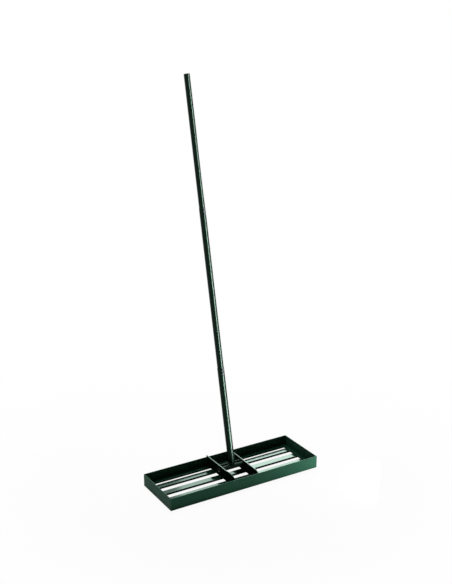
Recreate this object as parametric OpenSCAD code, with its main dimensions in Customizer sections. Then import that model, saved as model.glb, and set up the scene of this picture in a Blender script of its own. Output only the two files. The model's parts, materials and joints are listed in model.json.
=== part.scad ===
// Lawn leveling rake: a shallow steel tray with a grid of folded channels in its
// floor, two upright cross plates, and a three-piece tubular handle that pivots on
// a bolt between the plates and rests against a stop bar behind it.
// The tray lies flat on the ground at z = 0 with its long side along X, and the
// handle leans back towards +Y. Sizes are millimetres, angles are degrees. The
// origin is on the ground under the middle of the whole rake's bounding box.

/* [Tray] */
// Length of the tray over its end walls
tray_len = 762; // [650:1:920]
// Depth of the tray over its front and back walls
tray_depth = 257; // [245:1:290]
// Height of the tray walls
wall_h = 57; // [50:1:62]
// Thickness of the wall plate
wall_t = 3; // [2:0.5:5]
// Radius that eases the long edges of every flat bar
edge_r = 0.8; // [0.2:0.1:0.9]

/* [Channel grid] */
// Width of the three slats
slat_w = 32; // [22:1:34]
// Width of the two long ledges
ledge_w = 27; // [22:1:32]
// Width of the two end ledges
end_ledge_w = 24; // [18:1:32]
// Height of a channel over its folded lips
slat_h = 8; // [5:0.5:10]
// Sheet thickness of the channels
slat_t = 2; // [1:0.5:2]
// Outer radius of the folds
fold_r = 3; // [2.2:0.1:4]
// Height of the channels' flat tops above the ground
slat_top = 17; // [12:0.5:20]
// Distance from one slat's centre line to the next
slat_pitch = 63; // [56:1:66]

/* [Cross plates] */
// Distance between the middles of the two cross plates
plate_gap = 120; // [90:1:160]
// Height of a cross plate
plate_h = 50; // [46:1:60]
// Thickness of a cross plate
plate_t = 4; // [3:0.5:6]
// Length of the sloped nose at a plate's front end
nose_len = 20; // [5:1:40]
// Drop of the nose towards the front wall
nose_drop = 10; // [2:1:15]

/* [Pivot] */
// Height of the pivot bolt's axis above the ground
pivot_z = 49.5; // [46:0.5:50]
// Diameter of the pivot bolt
pivot_d = 10; // [8:1:12]
// Width across the flats of the pivot bolt's head and nuts
pivot_flats = 17; // [15:1:19]
// Diameter of the pivot washers
pivot_washer_d = 20; // [18:1:24]
// Diameter of the handle's cross sleeve, which turns on the bolt
sleeve_d = 21; // [18:0.5:22]
// Play of the sleeve between the two plates, at each end
sleeve_play = 1; // [0.5:0.5:4]
// Radial running clearance of the sleeve on the bolt
bore_clear = 0.08; // [0.03:0.01:0.1]
// Diameter of the stop bar behind the handle's foot
stop_d = 10; // [8:1:12]

/* [Handle] */
// Lean of the resting handle from the vertical, towards the back
lean = 12.6; // [5:0.1:30]
// Distance along the handle from the pivot to the lower tube's end
foot_len = 18; // [17:0.5:20]
// Length of the lower tube
lower_len = 440; // [300:1:600]
// Length of the middle tube, with the part inside the lower tube
middle_len = 783; // [500:1:900]
// Length of the upper tube, with the part inside the middle tube
upper_len = 645; // [400:1:800]
// Length of each tube that is pushed into the next one
overlap = 65; // [50:1:90]
// Outer diameter of the lower tube, the largest of the three
lower_d = 31.5; // [29:0.5:34]
// Wall of all three tubes
tube_t = 1; // [0.8:0.1:1.5]
// Radial play of each tube inside the next one
tube_play = 0.1; // [0.05:0.05:0.3]
// Distance from a tube's rim down to the first joint bolt
joint_first = 8; // [7.5:0.5:14]
// Distance between the two bolts of a joint
joint_pitch = 16; // [15:0.5:25]
// Diameter of the joint bolts
joint_d = 6; // [5:0.5:8]
// Width across the flats of the joint bolts' heads and nuts
joint_flats = 10; // [9:0.5:11]
// Thickness of the end cap's rim
cap_h = 3; // [2:0.5:6]
// Depth of the end cap's plug inside the tube
cap_plug = 22; // [10:1:40]

/* [Hidden] */
$fn = 64;

PAINT = [0.11, 0.23, 0.18];
BLACKED = [0.16, 0.16, 0.17];
PLASTIC = [0.05, 0.05, 0.05];

inner_len = tray_len - 2 * wall_t;
inner_depth = tray_depth - 2 * wall_t;
grid_len = inner_len - 2 * end_ledge_w;
ledge_y = inner_depth / 2 - ledge_w / 2;
end_ledge_len = inner_depth - 2 * ledge_w;
plate_x = plate_gap / 2;
plate_face = plate_x + plate_t / 2;

hole_clear = 0.1;
washer_t = 2;
bolt_head_h = pivot_d * 0.64;
nyloc_h = pivot_d;
thread_out = 2;
collar_h = 3;
plug_len = 30;
neck_d = sleeve_d - 3;

// The stop bar lies diagonally below and behind the lower back edge of the foot's
// collar, which meets it at the rest lean
stop_gap = 0.1;
stop_reach = stop_d / 2 + stop_gap;
stop_off = lower_d / 2 + stop_reach * cos(45);
stop_s = foot_len - collar_h - stop_reach * sin(45);

// The tubes telescope: each one's bore takes the next tube with a little play
middle_d = lower_d - 2 * (tube_t + tube_play);
upper_d = middle_d - 2 * (tube_t + tube_play);
lower_rim = foot_len + lower_len;
middle_start = lower_rim - overlap;
middle_rim = middle_start + middle_len;
upper_start = middle_rim - overlap;
upper_end = upper_start + upper_len;
pole_top = upper_end + cap_h;
cap_r = 1;
saddle_t = 1.2;
saddle_d = joint_flats + 4;

// The rake reaches from the front wall to the back of the leaning handle's top,
// and the tray is set back so that the middle of this reach lies over the origin
top_reach = (pole_top - cap_r) * sin(lean) + (upper_d / 2 - cap_r) * cos(lean) + cap_r;
base_y = (tray_depth / 2 - top_reach) / 2;

// Places something drawn about the middle of the tray
module on_tray() translate([0, base_y, 0]) children();

// Places something drawn along a vertical handle that has its pivot at the origin
module on_pole() on_tray() translate([0, 0, pivot_z]) rotate([-lean, 0, 0]) children();

// Turns a shape drawn along Z so that it runs along X through the pivot
module on_pivot() on_tray() translate([0, 0, pivot_z]) rotate([0, 90, 0]) children();

// Outline with its two upper corners rounded, standing on the x axis
module arched_outline(w, h, r) {
    translate([-w / 2, 0]) square([w, h - r]);
    translate([r - w / 2, 0]) square([w - 2 * r, h]);
    for (side = [-1, 1]) translate([side * (w / 2 - r), h - r]) circle(r);
}

// Folded channel along X, open below, with its flat top at z = slat_top
module channel(len, w)
    translate([0, 0, slat_top - slat_h]) rotate([90, 0, 90])
        linear_extrude(len, center = true) difference() {
            arched_outline(w, slat_h, fold_r);
            translate([0, -1])
                arched_outline(w - 2 * slat_t, slat_h - slat_t + 1, fold_r - slat_t);
        }

// Wall of flat bar along X, standing on the ground with its top edges eased
module wall_bar(len)
    rotate([90, 0, 90]) linear_extrude(len, center = true)
        arched_outline(wall_t, wall_h, edge_r);

module long_wall(side)
    color(PAINT) on_tray() translate([0, side * (tray_depth - wall_t) / 2, 0])
        wall_bar(tray_len);

module end_wall(side)
    color(PAINT) on_tray() translate([side * (tray_len - wall_t) / 2, 0, 0])
        rotate([0, 0, 90]) wall_bar(inner_depth);

module long_ledge(side)
    color(PAINT) on_tray() translate([0, side * ledge_y, 0]) channel(inner_len, ledge_w);

module end_ledge(side)
    color(PAINT) on_tray() translate([side * (inner_len - end_ledge_w) / 2, 0, 0])
        rotate([0, 0, 90]) channel(end_ledge_len, end_ledge_w);

module slat(place)
    color(PAINT) on_tray() translate([0, place * slat_pitch, 0]) channel(grid_len, slat_w);

// Upright plate from wall to wall: it stands on the channels, rises above the
// walls, and slopes down to the front wall at its nose
module cross_plate(side) {
    half = inner_depth / 2;
    color(PAINT) on_tray() translate([side * plate_x, 0, 0]) rotate([90, 0, 90])
        linear_extrude(plate_t, center = true) difference() {
            translate([0, slat_top]) polygon([
                [-half, 0], [half, 0], [half, plate_h],
                [nose_len - half, plate_h], [-half, plate_h - nose_drop]
            ]);
            translate([0, pivot_z]) circle(d = pivot_d + 4 * hole_clear);
        }
}

// Hexagon of a head or nut, its corners turned off at the upper end
module hex_body(flats, h) {
    turned_r = flats * 0.48;
    intersection() {
        cylinder(d = flats / cos(30), h = h, $fn = 6);
        cylinder(r1 = turned_r + h * tan(60), r2 = turned_r, h = h);
    }
}

// Washer or plain bore ring of height h
module ring(outer_d, bore_d, h) difference() {
    cylinder(d = outer_d, h = h);
    translate([0, 0, -1]) cylinder(d = bore_d, h = h + 2);
}

// Self-locking nut: a hexagon with a raised round collar
module nyloc_nut(flats, bore_d, h) difference() {
    union() {
        hex_body(flats, h * 0.7);
        cylinder(d = flats * 0.86, h = h);
    }
    translate([0, 0, -1]) cylinder(d = bore_d, h = h + 2);
}

// Hexagon bolt with its seat at z = 0: head below, shank with a pointed end above
module hex_bolt(flats, head_h, shank_d, len) {
    point = shank_d * 0.1;
    mirror([0, 0, 1]) hex_body(flats, head_h);
    cylinder(d = shank_d, h = len - point);
    translate([0, 0, len - point])
        cylinder(d1 = shank_d, d2 = shank_d - 2 * point, h = point);
}

bolt_seat = plate_face + washer_t;
bolt_len = 2 * bolt_seat + nyloc_h + thread_out;

module pivot_bolt() color(BLACKED) on_pivot() translate([0, 0, -bolt_seat])
    hex_bolt(pivot_flats, bolt_head_h, pivot_d, bolt_len);

module pivot_nut() color(BLACKED) on_pivot() translate([0, 0, bolt_seat])
    nyloc_nut(pivot_flats, pivot_d, nyloc_h);

module pivot_washers() color(BLACKED) on_pivot()
    for (side = [-1, 1]) translate([0, 0, side * (plate_face + washer_t / 2) - washer_t / 2])
        ring(pivot_washer_d, pivot_d + 2 * hole_clear, washer_t);

// Round bar welded between the cross plates, which stops the handle's backward fall
module stop_bar() color(PAINT) on_pole() translate([0, stop_off, stop_s])
    rotate([0, 90, 0]) cylinder(d = stop_d, h = plate_gap - plate_t, center = true);

// Foot of the handle: a plug for the tube, a collar that the tube stands on, and a
// short neck down to a sleeve that lies across the tray and turns on the bolt
module pole_foot() color(PAINT) on_pole() difference() {
    sleeve_len = plate_gap - plate_t - 2 * sleeve_play;
    union() {
        translate([0, 0, foot_len])
            cylinder(d = lower_d - 2 * tube_t - 2 * hole_clear, h = plug_len);
        translate([0, 0, foot_len - collar_h]) cylinder(d = lower_d, h = collar_h);
        cylinder(d = neck_d, h = foot_len - collar_h);
        rotate([0, 90, 0]) cylinder(d = sleeve_d, h = sleeve_len, center = true);
    }
    rotate([0, 90, 0])
        cylinder(r = pivot_d / 2 + bore_clear, h = sleeve_len + 2, center = true);
}

// Heights of the two bolts under a tube's rim
function joint_heights(rim) = [for (i = [0, 1]) rim - joint_first - i * joint_pitch];

// Places its children, drawn along Z, on each bolt axis of a joint. The axis runs
// from the front of the handle to its back.
module on_joint(rim)
    on_pole() for (height = joint_heights(rim)) translate([0, 0, height])
        rotate([-90, 0, 0]) children();

// One tube of the handle, drilled through for the joints at the given rims
module tube(d, start, len, rims) color(PAINT) difference() {
    on_pole() translate([0, 0, start]) ring(d, d - 2 * tube_t, len);
    for (rim = rims) on_joint(rim)
        cylinder(d = joint_d + 2 * hole_clear, h = 2 * d, center = true);
}

// Curved washer: flat under the bolt, hollowed to the tube behind it
module joint_saddles(rim, d) color(BLACKED) on_joint(rim)
    for (side = [0, 1]) mirror([0, 0, side]) difference() {
        translate([0, 0, d / 4]) cylinder(d = saddle_d, h = d / 4 + saddle_t);
        rotate([90, 0, 0]) cylinder(d = d, h = 2 * saddle_d, center = true);
        cylinder(d = joint_d + 2 * hole_clear, h = d);
    }

module joint_bolts(rim, d) {
    seat = d / 2 + saddle_t;
    color(BLACKED) on_joint(rim) translate([0, 0, -seat])
        hex_bolt(joint_flats, joint_d * 0.65, joint_d, 2 * seat + joint_d + thread_out);
}

module joint_nuts(rim, d) color(BLACKED) on_joint(rim) translate([0, 0, d / 2 + saddle_t])
    nyloc_nut(joint_flats, joint_d, joint_d);

// Plastic cap: a rounded rim on the tube's end and a ribbed plug inside it
module end_cap() color(PLASTIC) on_pole() translate([0, 0, upper_end]) rotate_extrude() {
    plug_r = upper_d / 2 - tube_t - hole_clear;
    square([upper_d / 2 - cap_r, cap_h]);
    square([upper_d / 2, cap_h - cap_r]);
    translate([upper_d / 2 - cap_r, cap_h - cap_r]) circle(cap_r, $fn = 32);
    translate([0, -cap_plug]) square([plug_r - 1, cap_plug]);
    for (i = [0 : 3]) translate([0, -cap_plug * (i + 1) / 5 - 1]) square([plug_r, 2]);
}

long_wall(-1);  // front_wall
long_wall(1);  // back_wall
end_wall(-1);  // left_wall
end_wall(1);  // right_wall
long_ledge(-1);  // front_ledge
long_ledge(1);  // back_ledge
end_ledge(-1);  // left_ledge
end_ledge(1);  // right_ledge
slat(-1);  // slat_front
slat(0);  // slat_middle
slat(1);  // slat_back
cross_plate(-1);  // left_cross_plate
cross_plate(1);  // right_cross_plate
pivot_bolt();
pivot_nut();
pivot_washers();
stop_bar();
pole_foot();
tube(lower_d, foot_len, lower_len, [lower_rim]);  // lower_tube
tube(middle_d, middle_start, middle_len, [lower_rim, middle_rim]);  // middle_tube
tube(upper_d, upper_start, upper_len, [middle_rim]);  // upper_tube
end_cap();
joint_bolts(lower_rim, lower_d);  // lower_joint_bolts
joint_nuts(lower_rim, lower_d);  // lower_joint_nuts
joint_saddles(lower_rim, lower_d);  // lower_joint_saddles
joint_bolts(middle_rim, middle_d);  // upper_joint_bolts
joint_nuts(middle_rim, middle_d);  // upper_joint_nuts
joint_saddles(middle_rim, middle_d);  // upper_joint_saddles
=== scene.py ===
# %% [markdown]
# # A lawn leveling rake
#
# The rake is a shallow steel tray, 762 mm long, whose floor is a grid of folded
# channels. Two upright plates cross it, and a handle of three steel tubes turns on
# a bolt between them. Nearly every part is one dark green powder coat, so the
# picture depends on clean edges, on the sheen of the coat and on small hardware.
#
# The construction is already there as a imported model. This notebook loads it, adds
# what a welder and a fitter would leave on it (weld seams, screw threads, rounded
# tube rims), gives every surface its finish, and lights it.

# %% Load the frame
import json
import math

import bmesh
import bpy
import numpy as np
from mathutils import Matrix, Vector

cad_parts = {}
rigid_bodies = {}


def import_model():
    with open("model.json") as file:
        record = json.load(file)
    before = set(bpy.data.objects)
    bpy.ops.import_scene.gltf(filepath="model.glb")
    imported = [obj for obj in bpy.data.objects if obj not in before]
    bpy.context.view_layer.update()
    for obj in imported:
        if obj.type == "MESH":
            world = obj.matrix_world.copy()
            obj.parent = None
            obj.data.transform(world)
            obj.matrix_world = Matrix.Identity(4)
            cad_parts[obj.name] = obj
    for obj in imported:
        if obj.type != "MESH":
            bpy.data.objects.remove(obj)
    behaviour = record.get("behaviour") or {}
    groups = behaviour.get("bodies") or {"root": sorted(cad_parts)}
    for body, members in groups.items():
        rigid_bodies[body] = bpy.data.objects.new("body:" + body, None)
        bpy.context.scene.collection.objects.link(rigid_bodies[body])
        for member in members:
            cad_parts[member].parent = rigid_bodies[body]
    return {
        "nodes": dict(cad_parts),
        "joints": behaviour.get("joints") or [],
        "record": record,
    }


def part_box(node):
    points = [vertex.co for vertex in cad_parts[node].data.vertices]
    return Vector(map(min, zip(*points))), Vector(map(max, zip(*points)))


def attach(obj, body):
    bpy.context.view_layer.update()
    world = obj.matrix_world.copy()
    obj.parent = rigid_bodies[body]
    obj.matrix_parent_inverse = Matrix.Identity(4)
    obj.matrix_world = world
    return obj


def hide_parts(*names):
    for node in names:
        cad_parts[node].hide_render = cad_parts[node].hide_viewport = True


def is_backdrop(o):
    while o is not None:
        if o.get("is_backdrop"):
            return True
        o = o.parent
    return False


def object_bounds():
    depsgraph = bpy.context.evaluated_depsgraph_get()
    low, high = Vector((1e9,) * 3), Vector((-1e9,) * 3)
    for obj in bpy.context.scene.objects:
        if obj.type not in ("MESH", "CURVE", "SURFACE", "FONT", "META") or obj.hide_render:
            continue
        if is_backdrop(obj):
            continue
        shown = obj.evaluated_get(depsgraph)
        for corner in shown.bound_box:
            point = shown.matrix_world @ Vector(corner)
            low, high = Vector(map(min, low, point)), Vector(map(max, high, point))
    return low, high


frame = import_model()
nodes = frame["nodes"]
cad_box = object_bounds()
mm = 0.001
print(f"{len(nodes)} nodes, box {[round(v / mm) for v in cad_box[1] - cad_box[0]]} mm")

# %% [markdown]
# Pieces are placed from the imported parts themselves. Only sizes that a part's box
# doesn't show, such as a thread's pitch or the radius of the handle's neck, are
# written down again below. The middle of the tray lies halfway between the front and
# the back wall, the pivot is the joint's own position, and the handle's axis runs
# from the middle of the lower tube to the middle of the upper one. Three unit
# vectors then describe the handle: across it, towards its back, and up along it.

# %% Find the tray, the pivot and the handle's axis
def middle_of(node):
    """Middle of the node's box: (low + high) / 2."""
    low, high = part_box(node)
    return np.array((low + high) / 2)


tray_middle = (middle_of("front_wall") + middle_of("back_wall")) / 2
tray_middle[2] = 0
pivot = np.array(frame["joints"][0]["pos_m"])
along = middle_of("upper_tube") - middle_of("lower_tube")
along /= np.linalg.norm(along)
across = np.array([1.0, 0.0, 0.0])
rearward = np.cross(along, across)
lean = math.degrees(math.acos(along[2]))
print(f"tray middle y {tray_middle[1] / mm:.1f} mm, handle leans {lean:.2f} degrees")

# %% [markdown]
# ## The camera
#
# The picture is 452 by 584 pixels. Seven corners of the tray fix the camera: with
# the tray 762 mm long, it stands 2.1 m above the ground, 3.9 m away, to the left
# of the tray's front, and looks down by 17.4 degrees. A 58 mm lens on a 36 mm
# sensor gives the picture's perspective, and no lens shift is needed.

# %% Place the camera
camera_from_tray = np.array([-2007.0, -3292.9, 2091.3]) * mm
camera_back = Vector((-0.49078, -0.81809, 0.29979))

camera_data = bpy.data.cameras.new("camera")
camera_data.lens = 58.265
camera_data.sensor_width = 36
camera_data.clip_start, camera_data.clip_end = 0.05, 2000
camera = bpy.data.objects.new("camera", camera_data)
camera.location = tray_middle + camera_from_tray
camera.rotation_euler = camera_back.to_track_quat("Z", "Y").to_euler()
bpy.context.scene.collection.objects.link(camera)
bpy.context.scene.camera = camera
print(f"camera at {[round(v, 2) for v in camera.location]} m")

# %% [markdown]
# ## Finishes
#
# A colour is given as a hex value, which is sRGB, while Blender calculates
# with linear light, so one function turns the first into the second. Another adds a
# node: its inputs are given by name, and a value that is itself another node's
# output is linked instead of copied.

# %% Helpers for colours and nodes
wall_green = "#396954"


def linear(hex_colour):
    """sRGB hex to linear RGBA: c / 12.92 below 0.04045, else ((c + 0.055) / 1.055) ** 2.4."""
    srgb = np.array([int(hex_colour[i:i + 2], 16) / 255 for i in (1, 3, 5)])
    light = np.where(srgb < 0.04045, srgb / 12.92, ((srgb + 0.055) / 1.055) ** 2.4)
    return (*light, 1.0)


def add_node(tree, kind, inputs=None, **settings):
    """A node with its settings. A socket among the inputs is linked, any other value is set."""
    node = tree.nodes.new(kind)
    for name, value in settings.items():
        setattr(node, name, value)
    for name, value in (inputs or {}).items():
        if isinstance(value, bpy.types.NodeSocket):
            tree.links.new(value, node.inputs[name])
        else:
            node.inputs[name].default_value = value
    return node


def new_material(name):
    """An empty material, its tree, and the object coordinates that its patterns read."""
    material = bpy.data.materials.new(name)
    material.use_nodes = True
    tree = material.node_tree
    tree.nodes.clear()
    place = add_node(tree, "ShaderNodeTexCoord").outputs["Object"]
    return material, tree, place


def per_metre(size_mm):
    """A pattern's scale: how many features of this size, in millimetres, fit in a metre."""
    return 1000 / size_mm


def finish_surface(tree, inputs, height, depth_mm):
    """Ends a tree: bump from a height pattern, then the surface shader and the output."""
    bump = add_node(tree, "ShaderNodeBump", {"Height": height, "Strength": 1.0, "Distance": depth_mm * mm})
    shader = add_node(tree, "ShaderNodeBsdfPrincipled", {**inputs, "Normal": bump.outputs[0]})
    add_node(tree, "ShaderNodeOutputMaterial", {"Surface": shader.outputs[0]})


print("the walls' green in linear light:", [round(v, 4) for v in linear(wall_green)])

# %% [markdown]
# ### Powder coat
#
# The tray is **powder-coated steel**: polyester powder, sprayed on dry and baked
# until it flows. It flows less evenly than wet paint, which leaves the faint
# waves called orange peel, 2.5 to 3.5 mm across, and a satin gloss. Level faces flow
# out flat and shine like enamel, while folds and upright faces stay duller, so the
# gloss follows the direction of the surface: it changes between 18 and 6 degrees
# from level. The tubes keep one gloss all round, and their peel is almost flat,
# because a long narrow reflection would break up on it. A larger and weaker pattern
# varies the colour, as the coat's thickness does. The tubes carry a deep, nearly
# black green coat. The cross plates and the folded channels are the walls' paint,
# but their colour is painted near black: painted shade for the shade inside the tray.

# %% Powder coats for the walls, the channels and the tubes
tilted, flat = 0.95, 0.995
drift_mm = 70
uneven_gloss = 0.04


def powder_coat(name, thin, thick, tint, peel_mm, peel_depth_mm, upright, level):
    """upright and level are each (roughness, specular). A value blends from the first to the
    second as the normal's height goes from tilted to flat. Where both are equal, the plain
    number goes to the shader's own socket."""
    material, tree, place = new_material(name)
    drift = add_node(tree, "ShaderNodeTexNoise", {"Vector": place, "Scale": per_metre(drift_mm),
                     "Detail": 3.0})
    colour = add_node(tree, "ShaderNodeMix", {"Factor": drift.outputs["Fac"], "A": linear(thin),
                      "B": linear(thick)}, data_type="RGBA")
    normal = add_node(tree, "ShaderNodeNewGeometry").outputs["Normal"]
    height = add_node(tree, "ShaderNodeSeparateXYZ", {"Vector": normal}).outputs["Z"]
    roughness, specular = [
        low if low == high else add_node(tree, "ShaderNodeMapRange", {"Value": height,
            "From Min": tilted, "From Max": flat, "To Min": low, "To Max": high}).outputs[0]
        for low, high in zip(upright, level)]
    peel = add_node(tree, "ShaderNodeTexNoise", {"Vector": place, "Scale": per_metre(peel_mm),
                    "Detail": 2.0})
    uneven = add_node(tree, "ShaderNodeMapRange", {"Value": peel.outputs["Fac"], "From Min": 0.3,
                      "From Max": 0.7, "To Min": 1 - uneven_gloss, "To Max": 1 + uneven_gloss})
    peeled = add_node(tree, "ShaderNodeMath", {0: roughness, 1: uneven.outputs[0]},
                      operation="MULTIPLY")
    finish_surface(tree, {"Base Color": colour.outputs["Result"], "Roughness": peeled.outputs[0],
                   "IOR": 1.5, "Specular IOR Level": specular, "Specular Tint": linear(tint)},
                   peel.outputs["Fac"], peel_depth_mm)
    return material


bar_coat = powder_coat("green_powder_coat", thin=wall_green, thick="#335f4b", tint="#d2f2e2",
                       peel_mm=2.5, peel_depth_mm=0.02, upright=(0.35, 0.02), level=(0.3, 0.25))
# The channels' coat is the walls' paint made near black: painted shade for the shade that falls inside the
# tray.
painted_shade_coat = powder_coat("green_channel_coat", thin="#0c2c20", thick="#0a261b", tint="#96dcbc",
                           peel_mm=3.0, peel_depth_mm=0.005, upright=(0.35, 0.0), level=(0.12, 1.0))
tube_coat = powder_coat("green_tube_coat", thin="#03281c", thick="#022016", tint="#c0ecd4",
                        peel_mm=3.5, peel_depth_mm=0.0001, upright=(0.2, 0.16), level=(0.2, 0.16))
print(bar_coat.name, painted_shade_coat.name, tube_coat.name)

# %% [markdown]
# ### Black zinc, plastic and nylon
#
# The bolts and nuts are **zinc-plated steel with a black passivation**: a dark metal,
# tumbled in a barrel, so its gloss is even but fine-grained. The end cap is
# **injection-moulded polyethylene**, black and matt with a fine spark grain, and
# the locking rings in the nuts are black **nylon**, a little smoother.

# %% Finishes for the hardware and the cap
gloss_spread = 0.08


def grained(name, dark, light, grain_mm, depth_mm, roughness, **surface):
    """One noise of grain_mm drives the colour, from dark to light, the roughness, which strays
    by gloss_spread to both sides, and the bump."""
    material, tree, place = new_material(name)
    grain = add_node(tree, "ShaderNodeTexNoise", {"Vector": place, "Scale": per_metre(grain_mm),
                     "Detail": 4.0})
    colour = add_node(tree, "ShaderNodeMix", {"Factor": grain.outputs["Fac"], "A": linear(dark),
                      "B": linear(light)}, data_type="RGBA")
    gloss = add_node(tree, "ShaderNodeMapRange", {"Value": grain.outputs["Fac"],
                     "To Min": roughness - gloss_spread, "To Max": roughness + gloss_spread})
    finish_surface(tree, {"Base Color": colour.outputs["Result"], "Roughness": gloss.outputs[0], **surface},
                   grain.outputs["Fac"], depth_mm)
    return material


blackened = grained("black_zinc_plate", dark="#141617", light="#1b1d1e",
                    grain_mm=0.9, depth_mm=0.01, roughness=0.3, Metallic=1.0)
plastic = grained("moulded_black_polyethylene", dark="#101211", light="#181a19",
                  grain_mm=0.4, depth_mm=0.02, roughness=0.48, IOR=1.51)
nylon = grained("black_nylon", dark="#17191a", light="#202223",
                grain_mm=0.8, depth_mm=0.005, roughness=0.35, IOR=1.53)
print(blackened.name, plastic.name, nylon.name)

# %% [markdown]
# ## From formula to mesh
#
# Each added piece is a grid of points: rows run along it and columns round it. The
# whole grid is worked out as one array, and the faces between its rows and columns
# come from index arithmetic. The ends of a rod's grid are capped. A ring needs no
# caps, because its last row joins its first one. Several grids can share one mesh,
# as a set of bolts does. Edges sharper than 35 degrees stay crisp, the rest is
# shaded smooth, and Blender turns all faces outwards.

# %% Turn grids of points into a piece
crisp_edge = math.radians(35)


def grid_faces(rows, columns, first, ring):
    """Quads of a grid whose columns close into a loop, counted from vertex first."""
    r, c = np.meshgrid(np.arange(rows if ring else rows - 1), np.arange(columns), indexing="ij")
    right, up = (c + 1) % columns, (r + 1) % rows
    quads = np.stack([r * columns + c, r * columns + right, up * columns + right, up * columns + c], -1)
    return (quads.reshape(-1, 4) + first).tolist()


def piece(name, grids, material, body, ring=False):
    """One mesh from several grids of shape (rows, columns, 3), all capped rods or all rings."""
    faces, first = [], 0
    for grid in grids:
        rows, columns = grid.shape[:2]
        faces += grid_faces(rows, columns, first, ring)
        if not ring:
            faces.append([first + i for i in range(columns)])
            faces.append([first + (rows - 1) * columns + i for i in range(columns)])
        first += rows * columns
    mesh = bpy.data.meshes.new(name)
    mesh.from_pydata(np.concatenate([g.reshape(-1, 3) for g in grids]).tolist(), [], faces)
    solid = bmesh.new()
    solid.from_mesh(mesh)
    bmesh.ops.recalc_face_normals(solid, faces=solid.faces)
    solid.to_mesh(mesh)
    solid.free()
    mesh.polygons.foreach_set("use_smooth", np.ones(len(faces), bool))
    mesh.set_sharp_from_angle(angle=crisp_edge)
    mesh.materials.append(material)
    made = bpy.data.objects.new(name, mesh)
    bpy.context.scene.collection.objects.link(made)
    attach(made, body)
    print(f"{name}: {len(faces)} faces")
    return made


print("a loop of 4 points in 3 rows has", len(grid_faces(3, 4, 0, ring=False)), "quads")

# %% [markdown]
# Turned shapes and screws are easiest to write down in a frame of their own, with
# z as their axis. Three axes and an origin then carry their points to where they
# belong, and a turned shape only needs its profile.

# %% Local shapes and their place
def to_row_frame(local, origin, x_axis, y_axis, z_axis):
    """Local points to the model's frame: origin + x * x_axis + y * y_axis + z * z_axis."""
    return origin + local @ np.array([x_axis, y_axis, z_axis])


def revolve(profile, around=96):
    """Local grid of a turned shape: each (radius, height) of the profile, swept round the z axis."""
    radius, height = np.array(profile, float).T[:, :, None]
    angle = np.linspace(0, 2 * np.pi, around, endpoint=False)[None, :]
    return np.stack([radius * np.cos(angle), radius * np.sin(angle), height + 0 * angle], -1)


print("a disc of radius 1 has its rim at", revolve([(1, 0)], around=4)[0, 0].tolist())

# %% [markdown]
# ## The tubes
#
# The three tubes push into each other like a tent pole, each one smaller in
# diameter than the one below, and every cut end is deburred, which leaves a small
# round on its rim that catches the light. A tube is a turned shape, so its profile
# is a closed path: up the bore, over the rounded rim, down the outside and round
# the lower rim. The length comes from the node's box: the box of a leaning tube is
# length times cos(lean) plus diameter times sin(lean) high.

# %% Tubes with rounded rims
tube_wall = 1 * mm
rim_round = 0.4 * mm


def rounded_rim(bore, outer, top, sign):
    """Profile points over a rim, from bore to outside: two quarter circles of radius rim_round."""
    turn = np.linspace(0, np.pi / 2, 5)
    near, far = rim_round * (1 - np.cos(turn)), rim_round * (1 - np.sin(turn))
    inner = np.stack([bore + near, top - sign * far], -1)
    outside = np.stack([outer - far, top - sign * near], -1)
    return np.concatenate([inner, outside])


def tube_piece(node):
    """A turned tube in the node's place, its length (box height - diameter * sin) / cos of lean."""
    low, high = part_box(node)
    outer = (high.x - low.x) / 2
    tilt = math.radians(lean)
    length = ((high.z - low.z) - 2 * outer * math.sin(tilt)) / math.cos(tilt)
    bore = outer - tube_wall
    over = rounded_rim(bore, outer, length / 2, 1)
    under = rounded_rim(bore, outer, -length / 2, -1)[::-1]
    profile = np.concatenate([over, under])
    grid = to_row_frame(revolve(profile), middle_of(node), across, rearward, along)
    made = piece(node + "_drawn", [grid], tube_coat, "handle", ring=True)
    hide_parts(node)
    print(f"{node}: {outer * 2 / mm:.0f} mm across, {length / mm:.0f} mm long")


for node in ("lower_tube", "middle_tube", "upper_tube"):
    tube_piece(node)

# %% [markdown]
# ## Bolts with real threads
#
# A hexagon bolt is one surface in polar form: at every height its radius is a
# function of the angle. On the head that is a hexagon, cut back by a cone at its
# corners. On the shank it is a circle cut by a triangle wave that climbs one pitch in
# each turn, so the ridge comes out as a helix. The thread fades out at both ends.

# %% Bolt surface
face_share = 0.48
cone_slope = math.tan(math.pi / 3)
thread_share = 0.55


def chamfer_depth(flats):
    """Depth at which the cone meets the corners: (flats / 2 / cos(30) - face) / tan(60)."""
    return (flats / 2 / math.cos(math.pi / 6) - face_share * flats) / cone_slope


def hexagon(flats, angle, depth):
    """Distance from the middle to the side: flats / 2 / cos(a), with a folded into +-30 degrees,
    and at most face + depth * tan(60), where depth counts from the chamfered face."""
    side = flats / 2 / np.cos(angle % (np.pi / 3) - np.pi / 6)
    return np.minimum(side, face_share * flats + depth * cone_slope)


def bolt_grid(flats, head, shank, length, pitch, around=36, per_turn=8):
    """Local grid, seat at z = 0, head below. Head: the chamfered hexagon. Shank: r = R - d *
    tooth(z / pitch - angle / 360), where tooth is a triangle wave from 0 to 1 and d, 0.55 of
    the pitch, fades to 0 at both ends."""
    angle = np.linspace(0, 2 * np.pi, around, endpoint=False)[None, :]
    depth = np.concatenate([np.linspace(0, chamfer_depth(flats), 5), [head]])[:, None]
    head_r = hexagon(flats, angle, depth)

    z = np.linspace(0, length, int(length / pitch * per_turn))[:, None]
    saw = (z / pitch - angle / (2 * np.pi)) % 1
    tooth = 1 - np.abs(2 * saw - 1)
    fade = np.clip(np.minimum(z / pitch, (length - z) / (0.5 * pitch)), 0, 1)
    tip = np.clip(length - z, 0, 0.1 * shank) - 0.1 * shank
    shank_r = shank / 2 + tip - thread_share * pitch * tooth * fade

    radius = np.concatenate([0.2 * head_r[:1], head_r, shank_r])
    height = np.concatenate([[[-head]], depth - head, z])
    return np.stack([radius * np.cos(angle), radius * np.sin(angle), height + 0 * angle], -1)


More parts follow.
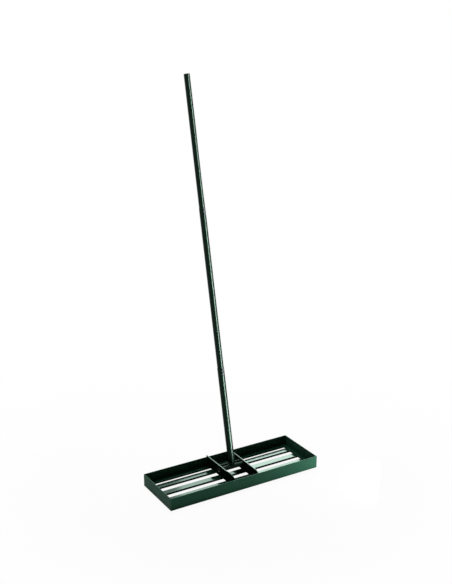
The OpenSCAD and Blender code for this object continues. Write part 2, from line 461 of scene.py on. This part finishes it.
pivot_flats = 17 * mm
pivot_pitch = 1.5 * mm
pivot_shank = 10 * mm
crosswise = ((0, 0, -1), (0, 1, 0), (1, 0, 0))
head_end, tip_end = (corner.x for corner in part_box("pivot_bolt"))
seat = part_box("pivot_washers")[0].x
grid = bolt_grid(pivot_flats, seat - head_end, pivot_shank, tip_end - seat, pivot_pitch)
grid = to_row_frame(grid, pivot + (seat, 0, 0), *crosswise)
pivot_bolt = piece("threaded_pivot_bolt", [grid], blackened, "base")
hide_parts("pivot_bolt")

# %% [markdown]
# Each tube joint has two M6 bolts, 16 mm apart, with their heads at the front. The
# first lies 8 mm below the outer tube's rim. The rim is found from the tube's own
# box, and the bolts stand square to the handle. Each shank reaches 8 mm past the
# curved washer at the back, which leaves room for the nut.

# %% Joint bolts
joint_flats = 10 * mm
joint_shank = 6 * mm
joint_head = 3.9 * mm
joint_pitch = 1.0 * mm
joint_nut_height = 6 * mm
joint_heights = (8 * mm, 24 * mm)
joint_reach = 8 * mm
saddle_t = 1.2 * mm
squarewise = (across, -along, rearward)


def tube_top(node):
    """Distance along the handle from the pivot to the node's upper rim, and its radius."""
    low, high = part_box(node)
    outer = (high.x - low.x) / 2
    tilt = math.radians(lean)
    return (high.z - outer * math.sin(tilt) - pivot[2]) / math.cos(tilt), outer


def at_joint(local, outer_tube, side):
    """Copies of a local grid on both bolt axes, from the saddle at the front (-1) or the back (1)."""
    rim, outer = tube_top(outer_tube)
    return [to_row_frame(local, pivot + (rim - down) * along + side * (outer + saddle_t) * rearward,
                         *squarewise) for down in joint_heights]


outer_tube_of = {"lower_joint": "lower_tube", "upper_joint": "middle_tube"}
for joint, outer_tube in outer_tube_of.items():
    between_seats = 2 * (tube_top(outer_tube)[1] + saddle_t)
    local = bolt_grid(joint_flats, joint_head, joint_shank, between_seats + joint_reach, joint_pitch,
                      around=24, per_turn=6)
    bolts = piece(joint + "_bolts_threaded", at_joint(local, outer_tube, -1), blackened,
                  "handle")
    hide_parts(joint + "_bolts")

# %% [markdown]
# ## Self-locking nuts
#
# Above its hexagon a self-locking nut has a round collar, whose rim is rolled in
# over a nylon ring. The ring grips the thread. Both are turned shapes, so both are
# rings: a closed path of (radius, height) points, swept round the bolt. Only on the
# hexagon does the radius also depend on the angle.

# %% Nut and nylon surfaces
hex_share = 0.7
collar_share = 0.43
lip_share = 0.05


def nut_grid(flats, bore, height, around=48):
    """Ring from the hexagon, over the collar's rolled rim, into the recess and down the bore. The
    rim is a half circle of radius lip, and the recess is 3 lips deep."""
    angle = np.linspace(0, 2 * np.pi, around, endpoint=False)[None, :]
    hex_top, lip, collar = hex_share * height, lip_share * flats, collar_share * flats
    z = np.concatenate([[0], np.linspace(hex_top - chamfer_depth(flats), hex_top, 5)])[:, None]
    body = hexagon(flats, angle, hex_top - z)
    turn = np.linspace(0, np.pi, 9)
    over = np.stack([collar - lip + lip * np.cos(turn), height - lip + lip * np.sin(turn)], -1)
    inside = [(collar - 2 * lip, height - 3 * lip), (bore / 2, height - 3 * lip), (bore / 2, 0)]
    profile = np.concatenate([[(collar, hex_top)], over, inside])
    radius = np.concatenate([body, profile[:, :1] + 0 * angle])
    level = np.concatenate([z, profile[:, 1:]])
    return np.stack([radius * np.cos(angle), radius * np.sin(angle), level + 0 * angle], -1)


def nylon_grid(flats, bore, height):
    """Domed ring in the recess: height = top - 0.8 * lip * (2 t - 1)^2, t from bore to rim."""
    lip = lip_share * flats
    across_ring = np.linspace(0, 1, 7)
    radius = bore / 2 + across_ring * (collar_share * flats - 2.2 * lip - bore / 2)
    top = height - 0.9 * lip - 0.8 * lip * (2 * across_ring - 1) ** 2
    profile = np.concatenate([np.stack([radius, top], -1),
                              [(radius[-1], height - 2.9 * lip), (radius[0], height - 2.9 * lip)]])
    return revolve(profile, around=48)


print("an M10 nut's collar is", round(2 * collar_share * pivot_flats / mm, 1), "mm across")

# %% [markdown]
# The pivot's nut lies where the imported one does, and each joint's nuts sit on the
# back of the tube. The same two functions serve both sizes.

# %% Nuts and their nylon rings
pivot_nut_low, pivot_nut_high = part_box("pivot_nut")
nut_place = (pivot + (pivot_nut_low.x, 0, 0), *crosswise)
sizes = (pivot_flats, pivot_shank, pivot_nut_high.x - pivot_nut_low.x)
made = piece("pivot_lock_nut", [to_row_frame(nut_grid(*sizes), *nut_place)], blackened,
             "base", ring=True)
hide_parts("pivot_nut")
piece("pivot_nylon_ring", [to_row_frame(nylon_grid(*sizes), *nut_place)], nylon,
      "base", ring=True)

joint_nut = (joint_flats, joint_shank, joint_nut_height)
for joint, outer_tube in outer_tube_of.items():
    made = piece(joint + "_lock_nuts", at_joint(nut_grid(*joint_nut), outer_tube, 1), blackened,
                 "handle", ring=True)
    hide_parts(joint + "_nuts")
    piece(joint + "_nylon_rings", at_joint(nylon_grid(*joint_nut), outer_tube, 1), nylon,
          "handle", ring=True)

# %% [markdown]
# ## Weld seams
#
# The tray is welded by hand: short fillets close its corners and hold the ends and
# the feet of the cross plates. A fillet fills the corner between two faces. Its
# section is a quarter circle, flattened a little, and the arc's pulses leave
# ripples that curve back like fish scales. So its radius is a function of the
# distance along the seam and of the angle in the corner, and it tapers off at both
# ends.

# %% Weld surface
ripple = 1.8 * mm
ripple_height = 0.06
ripple_bow = 0.9 * mm
flattening = 0.16
root_depth = 0.2 * mm
sections_per_mm = 2.5


def weld_grid(start, end, side_a, side_b, leg=2.6 * mm):
    """Fillet from start to end in the corner of directions side_a and side_b.
    r(u, v) = leg * taper(u) * (1 - 0.16 sin 2v) * (1 + 0.06 cos(2 pi (u - bow (v - 45)^2) / ripple))."""
    start, end, side_a, side_b = (np.array(v, float) for v in (start, end, side_a, side_b))
    length = np.linalg.norm(end - start)
    u = np.linspace(0, length, max(6, int(length / mm * sections_per_mm)))[:, None]
    v = np.linspace(0, np.pi / 2, 9)[None, :]
    scale = u - ripple_bow * (v - np.pi / 4) ** 2
    taper = np.sqrt(np.clip(np.minimum(u, length - u) / leg, 0.02, 1))
    wave = 1 + ripple_height * np.cos(2 * np.pi * scale / ripple)
    radius = leg * taper * (1 - flattening * np.sin(2 * v)) * wave
    spine = start + u[:, :, None] * (end - start) / length
    arc = spine + radius[:, :, None] * (np.cos(v)[:, :, None] * side_a + np.sin(v)[:, :, None] * side_b)
    root = spine - root_depth * (side_a + side_b) + 0 * arc[:, :1]
    ring = np.concatenate([arc, root], 1)
    return ring if np.dot(np.cross(side_a, side_b), end - start) > 0 else ring[:, ::-1]


test_seam = weld_grid((0, 0, 0), (40 * mm, 0, 0), (0, 1, 0), (0, 0, 1))
print("a 40 mm seam has", test_seam.shape[0], "sections of", test_seam.shape[1], "points")

# %% [markdown]
# The four corners of the tray and the plates' ends have upright seams, from the
# channels up to just below the walls' top edge. The plates' feet have a short level
# seam on both sides wherever they cross a slat.

# %% Seams of the tray and the cross plates
front_y, back_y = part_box("front_wall")[1].y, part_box("back_wall")[0].y
left_x, right_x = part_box("left_wall")[1].x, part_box("right_wall")[0].x
grid_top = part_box("slat_middle")[1].z
wall_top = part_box("front_wall")[1].z
margin = 2 * mm
half_foot = 9 * mm
foot_leg = 2.2 * mm


def upright_seams(x, sideways):
    """Two seams at x, against the front and the back wall, on the side that sideways points to."""
    return [weld_grid((x, y, grid_top), (x, y, wall_top - margin), (sideways, 0, 0), (0, inward, 0))
            for y, inward in ((front_y, 1), (back_y, -1))]


seams = upright_seams(left_x, 1) + upright_seams(right_x, -1)
for node in ("left_cross_plate", "right_cross_plate"):
    low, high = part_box(node)
    for x, outward in ((low.x, -1), (high.x, 1)):
        seams += upright_seams(x, outward)
        for slat in ("slat_front", "slat_middle", "slat_back"):
            y = middle_of(slat)[1]
            seams.append(weld_grid((x, y - half_foot, grid_top), (x, y + half_foot, grid_top),
                                   (outward, 0, 0), (0, 0, 1), leg=foot_leg))
piece("tray_welds", seams, bar_coat, "base")

# %% [markdown]
# Round parts get ring-shaped seams. A bead closes the joint between the handle's
# collar and its tube, and the stop bar has one at each end. Where the handle's neck
# meets the sleeve, two cylinders cross, and the seam follows the curve of their
# crossing: it rises and falls twice on its way round.

# %% Ring-shaped welds
neck_r = 9 * mm
sleeve_r = 10.5 * mm
stop_r = 5 * mm
collar_bead, sleeve_bead = 1.2 * mm, 1.3 * mm
collar_inset = 0.7 * mm


def bead(radius, height, thick, around=160):
    """Round bead along the closed curve (radius, angle, height(angle)): its section is a circle
    of radius thick * (1 + 0.06 cos(ripples * angle))."""
    angle = np.linspace(0, 2 * np.pi, around, endpoint=False)[None, :]
    section = np.linspace(0, 2 * np.pi, 10, endpoint=False)[:, None]
    ripples = round(2 * np.pi * radius / ripple)
    size = thick * (1 + ripple_height * np.cos(ripples * angle))
    outward = radius + size * np.cos(section)
    return np.stack([outward * np.cos(angle), outward * np.sin(angle),
                     height(angle) + size * np.sin(section)], -1)


low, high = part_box("lower_tube")
tube_r = (high.x - low.x) / 2
tilt = math.radians(lean)
foot = (low.z + tube_r * math.sin(tilt) - pivot[2]) / math.cos(tilt)
collar_seam = bead(tube_r - collar_inset, lambda angle: foot + 0 * angle, collar_bead)
sleeve_seam = bead(neck_r, lambda angle: np.sqrt(sleeve_r ** 2 - (neck_r * np.sin(angle)) ** 2),
                   sleeve_bead)
foot_seams = [to_row_frame(seam, pivot, across, rearward, along) for seam in (collar_seam, sleeve_seam)]
piece("foot_welds", foot_seams, tube_coat, "handle", ring=True)

stop_low, stop_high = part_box("stop_bar")
stop_seams = [to_row_frame(bead(stop_r, lambda angle: 0 * angle, collar_bead, around=80),
                           np.array([x, *middle_of("stop_bar")[1:]]), *crosswise)
              for x in (stop_low.x, stop_high.x)]
piece("stop_bar_welds", stop_seams, tube_coat, "base", ring=True)

# %% [markdown]
# ## Finishes on the imported parts
#
# Parts whose shape is already right keep their mesh and only get their finish. The
# record says which slot each one belongs to, so one loop covers them all. The
# channels and the cross plates take the painted-shade coat, a near-black copy of the
# walls' paint, and the handle's foot and the stop bar take the tubes' one.

# %% Give every imported part its finish
finish_of_slot = {"green_powder_coat": bar_coat, "blackened_steel": blackened,
                  "black_plastic": plastic}
# The channels, ledges and cross plates get the painted-shade coat in place of the walls' paint.
shade_painted_parts = ("ledge", "slat", "cross_plate")
for row in frame["record"]["subparts"]:
    node = nodes[row["node"]]
    chosen = finish_of_slot[row["material_slot"]]
    if any(word in row["node"] for word in shade_painted_parts):
        chosen = painted_shade_coat
    if row["node"] in ("pole_foot", "stop_bar"):
        chosen = tube_coat
    node.data.materials.clear()
    node.data.materials.append(chosen)

# %% [markdown]
# ## Floor, world and light
#
# The rake stands on a plain pale floor that runs out of sight. To the camera, and in
# the reflections that it sees, floor and world are nearly pure white, which Light
# Path selects, while all other rays see an ordinary matt floor and a dim world. Its
# Diffuse Depth leaves out a reflection that only lights a matt face, so the white
# never works as a lamp.

# %% Which rays see the white
def seen_directly(tree):
    """1 for camera, glossy and transmission rays that met no matt surface before, else 0."""
    path = add_node(tree, "ShaderNodeLightPath")
    mirrored = add_node(tree, "ShaderNodeMath", {0: path.outputs["Is Glossy Ray"],
                        1: path.outputs["Is Transmission Ray"]}, operation="MAXIMUM")
    seen = add_node(tree, "ShaderNodeMath", {0: path.outputs["Is Camera Ray"],
                    1: mirrored.outputs[0]}, operation="MAXIMUM")
    no_matt = add_node(tree, "ShaderNodeMath", {0: path.outputs["Diffuse Depth"], 1: 0.5},
                       operation="LESS_THAN")
    return add_node(tree, "ShaderNodeMath", {0: seen.outputs[0], 1: no_matt.outputs[0]},
                    operation="MULTIPLY").outputs[0]


print("white to the camera and to what it sees mirrored")

# %% [markdown]
# The floor is one quad. Within half a metre of the model's origin, which lies under
# the rake, it keeps a small share of its own matt shading, and with it the rake's
# shadow. The share fades out by 1.6 m, and beyond that only the white is left.

# %% Floor
floor_size = 600
shadow_share = 0.05
shadow_full, shadow_reach = 0.5, 1.6
half = floor_size / 2
corners = [(-half, -half, 0), (half, -half, 0), (half, half, 0), (-half, half, 0)]
floor_mesh = bpy.data.meshes.new("floor")
floor_mesh.from_pydata(corners, [], [(0, 1, 2, 3)])
floor = bpy.data.objects.new("floor", floor_mesh)
bpy.context.scene.collection.objects.link(floor)
floor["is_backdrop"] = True

floor_material, tree, place = new_material("pale_floor")
distance = add_node(tree, "ShaderNodeVectorMath", {0: place}, operation="LENGTH")
near = add_node(tree, "ShaderNodeMapRange", {"Value": distance.outputs["Value"],
                "From Min": shadow_full, "From Max": shadow_reach, "To Min": shadow_share,
                "To Max": 0.0}, interpolation_type="SMOOTHSTEP")
matt_share = add_node(tree, "ShaderNodeMix", {"Factor": seen_directly(tree), "A": 1.0,
                      "B": near.outputs[0]}, data_type="FLOAT")
matt = add_node(tree, "ShaderNodeBsdfDiffuse", {"Color": linear("#e8e8e6")})
white = add_node(tree, "ShaderNodeEmission", {"Color": linear("#ffffff"), "Strength": 1.0})
surface = add_node(tree, "ShaderNodeMixShader", {0: matt_share.outputs["Result"], 1: white.outputs[0],
                   2: matt.outputs[0]})
add_node(tree, "ShaderNodeOutputMaterial", {"Surface": surface.outputs[0]})
floor_mesh.materials.append(floor_material)
print(f"floor {floor_size} m, shadow share {shadow_share}")

# %% [markdown]
# The world's own light is only a faint fill. The lamps below do the work.

# %% World
dim_level = 0.03
world = bpy.data.worlds.new("studio")
bpy.context.scene.world = world
world.use_nodes = True
tree = world.node_tree
tree.nodes.clear()
level = add_node(tree, "ShaderNodeMix", {"Factor": seen_directly(tree), "A": dim_level, "B": 1.0},
                 data_type="FLOAT")
sky = add_node(tree, "ShaderNodeBackground", {"Color": linear("#ffffff"),
               "Strength": level.outputs["Result"]})
add_node(tree, "ShaderNodeOutputWorld", {"Surface": sky.outputs[0]})
print(f"world level {dim_level}")

# %% [markdown]
# A wide softbox overhead, a little behind the rake, lights the floor, and the floor
# lights the outside of the walls while their inner faces stay dark. Two small ones
# stand behind, 1.1 m above the ground, where the level slats mirror them: the
# stronger one is seen in the right half of the tray. A strip near the ground at the
# right front brightens the front wall towards its right end, and is too low to reach
# over it.

# %% Softboxes and the low strip
def softbox(name, position, target, width, height, radiance, up=(0, 0, 1), diffuse=True):
    """Area light. Its power is radiance * pi * area, so the brightness doesn't change with size."""
    data = bpy.data.lights.new(name, "AREA")
    data.shape = "RECTANGLE"
    data.size, data.size_y = width, height
    data.energy = radiance * math.pi * width * height
    z_axis = (Vector(position) - Vector(target)).normalized()
    x_axis = Vector(up).cross(z_axis).normalized()
    light = bpy.data.objects.new(name, data)
    light.location = Vector(position)
    light.rotation_euler = Matrix((x_axis, z_axis.cross(x_axis), z_axis)).transposed().to_euler()
    light.visible_camera = False
    light.visible_diffuse = diffuse
    bpy.context.scene.collection.objects.link(light)
    return light


def direction(azimuth, elevation):
    """Unit vector by azimuth (0 is towards the front, 90 to the right) and elevation."""
    a, e = math.radians(azimuth), math.radians(elevation)
    return Vector((math.sin(a) * math.cos(e), -math.cos(a) * math.cos(e), math.sin(e)))


tray = Vector(tray_middle)
top_place = tray + direction(160, 65) * 3.2
key_place = tray + Vector((1.4, 1.5, 1.12))
fill_place = tray + Vector((0.75, 1.5, 1.12))
low_place = tray + Vector((0.54, -0.39, 0.027))
low_target = tray + Vector((0.25, -0.13, 0.027))
softbox("top_softbox", top_place, tray, width=2.0, height=1.6, radiance=8.5)
softbox("key_softbox", key_place, tray, width=0.7, height=0.5, radiance=5.2)
softbox("fill_softbox", fill_place, tray, width=0.4, height=0.5, radiance=2.8)
softbox("low_strip", low_place, low_target, width=0.3, height=0.045, radiance=32.0)
print("four lights for the whole rake")

# %% [markdown]
# The last two lights are one tall strip at the right front, which draws the bright
# line down the tubes. It leans roughly as the handle does, and lights only gloss.
# Light linking gives the tubes more of it than the small bolts, which lie square to
# it and would burn out, and keeps it off the tray.

# %% The tall strip
strip_target = Vector(pivot + 1.4 * along)
strip_place = strip_target + direction(30, 0) * 0.8
for name, radiance, word in (("edge_strip", 72.0, "tube"), ("glint_strip", 60.0, "joint")):
    strip = softbox(name, strip_place, strip_target, width=0.22, height=3.2, radiance=radiance,
                    up=along, diffuse=False)
    lit = bpy.data.collections.new(f"lit by the {name}")
    for made in bpy.data.objects:
        if word in made.name:
            lit.objects.link(made)
    strip.light_linking.receiver_collection = lit

# %% [markdown]
# ## View settings and last checks
#
# The Standard view transform keeps colours as they are written. The sizes of the
# imported model and of the finished one are gathered, and the growth is printed.

# %% Finish
bpy.context.scene.view_settings.view_transform = "Standard"
visual_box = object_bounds()
sizes = {"cad": [list(corner) for corner in cad_box], "visual": [list(corner) for corner in visual_box]}
print("grown by", [round((b - a) / mm, 2) for a, b in zip(cad_box[1], visual_box[1])], "mm")
